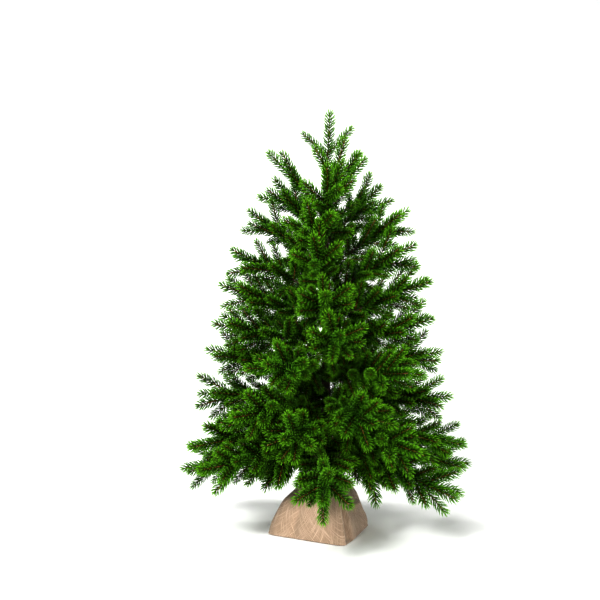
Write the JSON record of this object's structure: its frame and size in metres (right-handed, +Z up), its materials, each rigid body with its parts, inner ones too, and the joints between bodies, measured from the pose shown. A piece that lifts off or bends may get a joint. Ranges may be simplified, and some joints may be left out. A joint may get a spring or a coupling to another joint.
{
  "type": "artificial tabletop tree",
  "caption": "Artificial conifer for a tabletop: needle-covered wire branches that bend up against a taped trunk, on a weighted pot in a tied burlap sack.",
  "frame": {"origin": "on the trunk's axis, at the sack's flat underside", "axes": "+Z up along the trunk, -Y towards the front"},
  "size_m": [0.5396, 0.5469, 0.7482],
  "materials": {
    "burlap": "coarse plain weave, matte",
    "jute_twine": "twisted, matte",
    "pot_plastic": "moulded, matte",
    "cast_cement": "cast, rough",
    "steel_rod": "drawn, bare",
    "brown_tape": "wound, satin",
    "needle_foliage": "moulded needles, satin gloss"
  },
  "bodies": {
    "stand": {"sack": "burlap", "sack_tie": "jute_twine", "base_pot": "pot_plastic", "base_weight": "cast_cement", "trunk_rod": "steel_rod", "trunk_wrap": "brown_tape", "leader": "needle_foliage"},
    "branch_t01_1": {"branch_t01_1": "needle_foliage"},
    "branch_t01_2": {"branch_t01_2": "needle_foliage"},
    "branch_t01_3": {"branch_t01_3": "needle_foliage"},
    "branch_t01_4": {"branch_t01_4": "needle_foliage"},
    "branch_t01_5": {"branch_t01_5": "needle_foliage"},
    "branch_t01_6": {"branch_t01_6": "needle_foliage"},
    "branch_t01_7": {"branch_t01_7": "needle_foliage"},
    "branch_t02_1": {"branch_t02_1": "needle_foliage"},
    "branch_t02_2": {"branch_t02_2": "needle_foliage"},
    "branch_t02_3": {"branch_t02_3": "needle_foliage"},
    "branch_t02_4": {"branch_t02_4": "needle_foliage"},
    "branch_t02_5": {"branch_t02_5": "needle_foliage"},
    "branch_t02_6": {"branch_t02_6": "needle_foliage"},
    "branch_t02_7": {"branch_t02_7": "needle_foliage"},
    "branch_t03_1": {"branch_t03_1": "needle_foliage"},
    "branch_t03_2": {"branch_t03_2": "needle_foliage"},
    "branch_t03_3": {"branch_t03_3": "needle_foliage"},
    "branch_t03_4": {"branch_t03_4": "needle_foliage"},
    "branch_t03_5": {"branch_t03_5": "needle_foliage"},
    "branch_t03_6": {"branch_t03_6": "needle_foliage"},
    "branch_t04_1": {"branch_t04_1": "needle_foliage"},
    "branch_t04_2": {"branch_t04_2": "needle_foliage"},
    "branch_t04_3": {"branch_t04_3": "needle_foliage"},
    "branch_t04_4": {"branch_t04_4": "needle_foliage"},
    "branch_t04_5": {"branch_t04_5": "needle_foliage"},
    "branch_t04_6": {"branch_t04_6": "needle_foliage"},
    "branch_t05_1": {"branch_t05_1": "needle_foliage"},
    "branch_t05_2": {"branch_t05_2": "needle_foliage"},
    "branch_t05_3": {"branch_t05_3": "needle_foliage"},
    "branch_t05_4": {"branch_t05_4": "needle_foliage"},
    "branch_t05_5": {"branch_t05_5": "needle_foliage"},
    "branch_t06_1": {"branch_t06_1": "needle_foliage"},
    "branch_t06_2": {"branch_t06_2": "needle_foliage"},
    "branch_t06_3": {"branch_t06_3": "needle_foliage"},
    "branch_t06_4": {"branch_t06_4": "needle_foliage"},
    "branch_t06_5": {"branch_t06_5": "needle_foliage"},
    "branch_t07_1": {"branch_t07_1": "needle_foliage"},
    "branch_t07_2": {"branch_t07_2": "needle_foliage"},
    "branch_t07_3": {"branch_t07_3": "needle_foliage"},
    "branch_t07_4": {"branch_t07_4": "needle_foliage"},
    "branch_t07_5": {"branch_t07_5": "needle_foliage"},
    "branch_t08_1": {"branch_t08_1": "needle_foliage"},
    "branch_t08_2": {"branch_t08_2": "needle_foliage"},
    "branch_t08_3": {"branch_t08_3": "needle_foliage"},
    "branch_t08_4": {"branch_t08_4": "needle_foliage"},
    "branch_t09_1": {"branch_t09_1": "needle_foliage"},
    "branch_t09_2": {"branch_t09_2": "needle_foliage"},
    "branch_t09_3": {"branch_t09_3": "needle_foliage"},
    "branch_t10_1": {"branch_t10_1": "needle_foliage"},
    "branch_t10_2": {"branch_t10_2": "needle_foliage"},
    "branch_t10_3": {"branch_t10_3": "needle_foliage"}
  },
  "joints": [
    {"name": "bend_t01_1", "type": "hinge", "parent": "stand", "child": "branch_t01_1", "pos_m": [0.00871, 0.00217, 0.158], "axis": [0.2419, -0.9703, 0], "range_deg": [-4.24, 49.92]},
    {"name": "bend_t01_2", "type": "hinge", "parent": "stand", "child": "branch_t01_2", "pos_m": [0.00395, 0.00806, 0.158], "axis": [0.898, -0.4399, 0], "range_deg": [-3.61, 42.5]},
    {"name": "bend_t01_3", "type": "hinge", "parent": "stand", "child": "branch_t01_3", "pos_m": [-0.00362, 0.00822, 0.158], "axis": [0.9149, 0.4036, 0], "range_deg": [-4, 47.08]},
    {"name": "bend_t01_4", "type": "hinge", "parent": "stand", "child": "branch_t01_4", "pos_m": [-0.00877, 0.00191, 0.158], "axis": [0.213, 0.9771, 0], "range_deg": [-4.39, 51.67]},
    {"name": "bend_t01_5", "type": "hinge", "parent": "stand", "child": "branch_t01_5", "pos_m": [-0.00711, -0.00548, 0.158], "axis": [-0.6102, 0.7923, 0], "range_deg": [-3.76, 44.25]},
    {"name": "bend_t01_6", "type": "hinge", "parent": "stand", "child": "branch_t01_6", "pos_m": [-0.00039, -0.00897, 0.158], "axis": [-0.9991, 0.0436, 0], "range_deg": [-4.15, 48.83]},
    {"name": "bend_t01_7", "type": "hinge", "parent": "stand", "child": "branch_t01_7", "pos_m": [0.00702, -0.0056, 0.158], "axis": [-0.6238, -0.7816, 0], "range_deg": [-4.54, 53.42]},
    {"name": "bend_t02_1", "type": "hinge", "parent": "stand", "child": "branch_t02_1", "pos_m": [-0.00751, 0.00455, 0.1943], "axis": [0.5178, 0.8555, 0], "range_deg": [-3.79, 44.59]},
    {"name": "bend_t02_2", "type": "hinge", "parent": "stand", "child": "branch_t02_2", "pos_m": [-0.0081, -0.00339, 0.1943], "axis": [-0.3861, 0.9224, 0], "range_deg": [-4.18, 49.18]},
    {"name": "bend_t02_3", "type": "hinge", "parent": "stand", "child": "branch_t02_3", "pos_m": [-0.00262, -0.00838, 0.1943], "axis": [-0.9543, 0.2988, 0], "range_deg": [-3.55, 41.76]},
    {"name": "bend_t02_4", "type": "hinge", "parent": "stand", "child": "branch_t02_4", "pos_m": [0.00472, -0.00741, 0.1943], "axis": [-0.8433, -0.5375, 0], "range_deg": [-3.94, 46.35]},
    {"name": "bend_t02_5", "type": "hinge", "parent": "stand", "child": "branch_t02_5", "pos_m": [0.00876, -0.00055, 0.1943], "axis": [-0.0625, -0.998, 0], "range_deg": [-4.33, 50.93]},
    {"name": "bend_t02_6", "type": "hinge", "parent": "stand", "child": "branch_t02_6", "pos_m": [0.00607, 0.00635, 0.1943], "axis": [0.7232, -0.6907, 0], "range_deg": [-3.7, 43.51]},
    {"name": "bend_t02_7", "type": "hinge", "parent": "stand", "child": "branch_t02_7", "pos_m": [-0.00095, 0.00873, 0.1943], "axis": [0.9941, 0.1083, 0], "range_deg": [-4.09, 48.1]},
    {"name": "bend_t03_1", "type": "hinge", "parent": "stand", "child": "branch_t03_1", "pos_m": [0.00259, -0.00815, 0.23581], "axis": [-0.9531, -0.3028, 0], "range_deg": [-4.23, 49.72]},
    {"name": "bend_t03_2", "type": "hinge", "parent": "stand", "child": "branch_t03_2", "pos_m": [0.0083, -0.00206, 0.23581], "axis": [-0.2403, -0.9707, 0], "range_deg": [-3.6, 42.3]},
    {"name": "bend_t03_3", "type": "hinge", "parent": "stand", "child": "branch_t03_3", "pos_m": [0.00566, 0.00641, 0.23581], "axis": [0.7498, -0.6617, 0], "range_deg": [-3.98, 46.89]},
    {"name": "bend_t03_4", "type": "hinge", "parent": "stand", "child": "branch_t03_4", "pos_m": [-0.00251, 0.00818, 0.23581], "axis": [0.9561, 0.2931, 0], "range_deg": [-3.35, 39.47]},
    {"name": "bend_t03_5", "type": "hinge", "parent": "stand", "child": "branch_t03_5", "pos_m": [-0.00828, 0.00214, 0.23581], "axis": [0.2501, 0.9682, 0], "range_deg": [-3.75, 44.06]},
    {"name": "bend_t03_6", "type": "hinge", "parent": "stand", "child": "branch_t03_6", "pos_m": [-0.00573, -0.00636, 0.23581], "axis": [-0.743, 0.6693, 0], "range_deg": [-4.13, 48.64]},
    {"name": "bend_t04_1", "type": "hinge", "parent": "stand", "child": "branch_t04_1", "pos_m": [0.00365, 0.00747, 0.27955], "axis": [0.8985, -0.4389, 0], "range_deg": [-3.19, 37.48]},
    {"name": "bend_t04_2", "type": "hinge", "parent": "stand", "child": "branch_t04_2", "pos_m": [-0.00494, 0.00669, 0.27955], "axis": [0.8045, 0.594, 0], "range_deg": [-3.58, 42.06]},
    {"name": "bend_t04_3", "type": "hinge", "parent": "stand", "child": "branch_t04_3", "pos_m": [-0.00829, -0.00071, 0.27955], "axis": [-0.0856, 0.9963, 0], "range_deg": [-2.94, 34.64]},
    {"name": "bend_t04_4", "type": "hinge", "parent": "stand", "child": "branch_t04_4", "pos_m": [-0.00373, -0.00744, 0.27955], "axis": [-0.894, 0.448, 0], "range_deg": [-3.33, 39.23]},
    {"name": "bend_t04_5", "type": "hinge", "parent": "stand", "child": "branch_t04_5", "pos_m": [0.00487, -0.00674, 0.27955], "axis": [-0.8105, -0.5857, 0], "range_deg": [-3.72, 43.81]},
    {"name": "bend_t04_6", "type": "hinge", "parent": "stand", "child": "branch_t04_6", "pos_m": [0.00829, 0.00063, 0.27955], "axis": [0.0755, -0.9971, 0], "range_deg": [-3.09, 36.39]},
    {"name": "bend_t05_1", "type": "hinge", "parent": "stand", "child": "branch_t05_1", "pos_m": [-0.00757, -0.0028, 0.3248], "axis": [-0.3471, 0.9378, 0], "range_deg": [-3.12, 36.67]},
    {"name": "bend_t05_2", "type": "hinge", "parent": "stand", "child": "branch_t05_2", "pos_m": [0.00067, -0.00804, 0.3248], "axis": [-0.9965, -0.0833, 0], "range_deg": [-3.51, 41.25]},
    {"name": "bend_t05_3", "type": "hinge", "parent": "stand", "child": "branch_t05_3", "pos_m": [0.00781, -0.00205, 0.3248], "axis": [-0.2546, -0.9671, 0], "range_deg": [-2.88, 33.83]},
    {"name": "bend_t05_4", "type": "hinge", "parent": "stand", "child": "branch_t05_4", "pos_m": [0.00407, 0.00697, 0.3248], "axis": [0.8636, -0.5042, 0], "range_deg": [-3.27, 38.42]},
    {"name": "bend_t05_5", "type": "hinge", "parent": "stand", "child": "branch_t05_5", "pos_m": [-0.00521, 0.00617, 0.3248], "axis": [0.7638, 0.6454, 0], "range_deg": [-2.63, 31]},
    {"name": "bend_t06_1", "type": "hinge", "parent": "stand", "child": "branch_t06_1", "pos_m": [0.00726, -0.00291, 0.3712], "axis": [-0.3718, -0.9283, 0], "range_deg": [-2.62, 30.81]},
    {"name": "bend_t06_2", "type": "hinge", "parent": "stand", "child": "branch_t06_2", "pos_m": [0.00474, 0.00622, 0.3712], "axis": [0.7949, -0.6067, 0], "range_deg": [-3.01, 35.4]},
    {"name": "bend_t06_3", "type": "hinge", "parent": "stand", "child": "branch_t06_3", "pos_m": [-0.00427, 0.00655, 0.3712], "axis": [0.8375, 0.5464, 0], "range_deg": [-2.38, 27.98]},
    {"name": "bend_t06_4", "type": "hinge", "parent": "stand", "child": "branch_t06_4", "pos_m": [-0.0076, -0.00184, 0.3712], "axis": [-0.235, 0.972, 0], "range_deg": [-2.77, 32.56]},
    {"name": "bend_t06_5", "type": "hinge", "parent": "stand", "child": "branch_t06_5", "pos_m": [-0.00026, -0.00781, 0.3712], "axis": [-0.9994, 0.0338, 0], "range_deg": [-3.16, 37.15]},
    {"name": "bend_t07_1", "type": "hinge", "parent": "stand", "child": "branch_t07_1", "pos_m": [-0.00332, 0.00679, 0.41855], "axis": [0.8985, 0.4391, 0], "range_deg": [-2.09, 24.57]},
    {"name": "bend_t07_2", "type": "hinge", "parent": "stand", "child": "branch_t07_2", "pos_m": [-0.00743, -0.00138, 0.41855], "axis": [-0.1825, 0.9832, 0], "range_deg": [-2.48, 29.16]},
    {"name": "bend_t07_3", "type": "hinge", "parent": "stand", "child": "branch_t07_3", "pos_m": [-0.00118, -0.00747, 0.41855], "axis": [-0.9877, 0.1566, 0], "range_deg": [-1.85, 21.74]},
    {"name": "bend_t07_4", "type": "hinge", "parent": "stand", "child": "branch_t07_4", "pos_m": [0.00664, -0.00361, 0.41855], "axis": [-0.4778, -0.8785, 0], "range_deg": [-2.24, 26.32]},
    {"name": "bend_t07_5", "type": "hinge", "parent": "stand", "child": "branch_t07_5", "pos_m": [0.00526, 0.00543, 0.41855], "axis": [0.7185, -0.6955, 0], "range_deg": [-2.63, 30.91]},
    {"name": "bend_t08_1", "type": "hinge", "parent": "stand", "child": "branch_t08_1", "pos_m": [-0.00202, -0.00701, 0.4667], "axis": [-0.9608, 0.2771, 0], "range_deg": [-1.53, 18]},
    {"name": "bend_t08_2", "type": "hinge", "parent": "stand", "child": "branch_t08_2", "pos_m": [0.00709, -0.00172, 0.4667], "axis": [-0.2354, -0.9719, 0], "range_deg": [-1.92, 22.58]},
    {"name": "bend_t08_3", "type": "hinge", "parent": "stand", "child": "branch_t08_3", "pos_m": [0.00191, 0.00705, 0.4667], "axis": [0.9653, -0.2612, 0], "range_deg": [-1.29, 15.16]},
    {"name": "bend_t08_4", "type": "hinge", "parent": "stand", "child": "branch_t08_4", "pos_m": [-0.00699, 0.00209, 0.4667], "axis": [0.2869, 0.958, 0], "range_deg": [-1.68, 19.75]},
    {"name": "bend_t09_1", "type": "hinge", "parent": "stand", "child": "branch_t09_1", "pos_m": [0.00588, 0.00386, 0.51554], "axis": [0.5492, -0.8357, 0], "range_deg": [-1.58, 18.54]},
    {"name": "bend_t09_2", "type": "hinge", "parent": "stand", "child": "branch_t09_2", "pos_m": [-0.0062, 0.00332, 0.51554], "axis": [0.4728, 0.8812, 0], "range_deg": [-0.95, 11.12]},
    {"name": "bend_t09_3", "type": "hinge", "parent": "stand", "child": "branch_t09_3", "pos_m": [0.00003, -0.00703, 0.51554], "axis": [-1, -0.0044, 0], "range_deg": [-1.34, 15.71]},
    {"name": "bend_t10_1", "type": "hinge", "parent": "stand", "child": "branch_t10_1", "pos_m": [-0.00666, 0.00115, 0.565], "axis": [0.1696, 0.9855, 0], "range_deg": [-1.21, 14.23]},
    {"name": "bend_t10_2", "type": "hinge", "parent": "stand", "child": "branch_t10_2", "pos_m": [0.00217, -0.00641, 0.565], "axis": [-0.9472, -0.3207, 0], "range_deg": [-0.58, 6.81]},
    {"name": "bend_t10_3", "type": "hinge", "parent": "stand", "child": "branch_t10_3", "pos_m": [0.00424, 0.00527, 0.565], "axis": [0.7791, -0.6269, 0], "range_deg": [-0.97, 11.4]}
  ],
  "couplings": [
    {"joint": "bend_t01_1", "follows": "bend_t01_3", "ratio": 1.0603},
    {"joint": "bend_t01_2", "follows": "bend_t01_3", "ratio": 0.90272},
    {"joint": "bend_t01_4", "follows": "bend_t01_3", "ratio": 1.0975},
    {"joint": "bend_t01_5", "follows": "bend_t01_3", "ratio": 0.93989},
    {"joint": "bend_t01_6", "follows": "bend_t01_3", "ratio": 1.0372},
    {"joint": "bend_t01_7", "follows": "bend_t01_3", "ratio": 1.1347},
    {"joint": "bend_t02_1", "follows": "bend_t01_3", "ratio": 0.94711},
    {"joint": "bend_t02_2", "follows": "bend_t01_3", "ratio": 1.0446},
    {"joint": "bend_t02_3", "follows": "bend_t01_3", "ratio": 0.887},
    {"joint": "bend_t02_4", "follows": "bend_t01_3", "ratio": 0.98449},
    {"joint": "bend_t02_5", "follows": "bend_t01_3", "ratio": 1.0818},
    {"joint": "bend_t02_6", "follows": "bend_t01_3", "ratio": 0.92417},
    {"joint": "bend_t02_7", "follows": "bend_t01_3", "ratio": 1.0217},
    {"joint": "bend_t03_1", "follows": "bend_t01_3", "ratio": 1.0561},
    {"joint": "bend_t03_2", "follows": "bend_t01_3", "ratio": 0.89847},
    {"joint": "bend_t03_3", "follows": "bend_t01_3", "ratio": 0.99596},
    {"joint": "bend_t03_4", "follows": "bend_t01_3", "ratio": 0.83836},
    {"joint": "bend_t03_5", "follows": "bend_t01_3", "ratio": 0.93585},
    {"joint": "bend_t03_6", "follows": "bend_t01_3", "ratio": 1.0331},
    {"joint": "bend_t04_1", "follows": "bend_t01_3", "ratio": 0.79609},
    {"joint": "bend_t04_2", "follows": "bend_t01_3", "ratio": 0.89337},
    {"joint": "bend_t04_3", "follows": "bend_t01_3", "ratio": 0.73577},
    {"joint": "bend_t04_4", "follows": "bend_t01_3", "ratio": 0.83326},
    {"joint": "bend_t04_5", "follows": "bend_t01_3", "ratio": 0.93054},
    {"joint": "bend_t04_6", "follows": "bend_t01_3", "ratio": 0.77294},
    {"joint": "bend_t05_1", "follows": "bend_t01_3", "ratio": 0.77889},
    {"joint": "bend_t05_2", "follows": "bend_t01_3", "ratio": 0.87617},
    {"joint": "bend_t05_3", "follows": "bend_t01_3", "ratio": 0.71856},
    {"joint": "bend_t05_4", "follows": "bend_t01_3", "ratio": 0.81606},
    {"joint": "bend_t05_5", "follows": "bend_t01_3", "ratio": 0.65845},
    {"joint": "bend_t06_1", "follows": "bend_t01_3", "ratio": 0.65442},
    {"joint": "bend_t06_2", "follows": "bend_t01_3", "ratio": 0.75191},
    {"joint": "bend_t06_3", "follows": "bend_t01_3", "ratio": 0.59431},
    {"joint": "bend_t06_4", "follows": "bend_t01_3", "ratio": 0.69159},
    {"joint": "bend_t06_5", "follows": "bend_t01_3", "ratio": 0.78908},
    {"joint": "bend_t07_1", "follows": "bend_t01_3", "ratio": 0.52188},
    {"joint": "bend_t07_2", "follows": "bend_t01_3", "ratio": 0.61937},
    {"joint": "bend_t07_3", "follows": "bend_t01_3", "ratio": 0.46177},
    {"joint": "bend_t07_4", "follows": "bend_t01_3", "ratio": 0.55905},
    {"joint": "bend_t07_5", "follows": "bend_t01_3", "ratio": 0.65654},
    {"joint": "bend_t08_1", "follows": "bend_t01_3", "ratio": 0.38233},
    {"joint": "bend_t08_2", "follows": "bend_t01_3", "ratio": 0.47961},
    {"joint": "bend_t08_3", "follows": "bend_t01_3", "ratio": 0.32201},
    {"joint": "bend_t08_4", "follows": "bend_t01_3", "ratio": 0.4195},
    {"joint": "bend_t09_1", "follows": "bend_t01_3", "ratio": 0.3938},
    {"joint": "bend_t09_2", "follows": "bend_t01_3", "ratio": 0.23619},
    {"joint": "bend_t09_3", "follows": "bend_t01_3", "ratio": 0.33369},
    {"joint": "bend_t10_1", "follows": "bend_t01_3", "ratio": 0.30225},
    {"joint": "bend_t10_2", "follows": "bend_t01_3", "ratio": 0.14465},
    {"joint": "bend_t10_3", "follows": "bend_t01_3", "ratio": 0.24214}
  ]
}
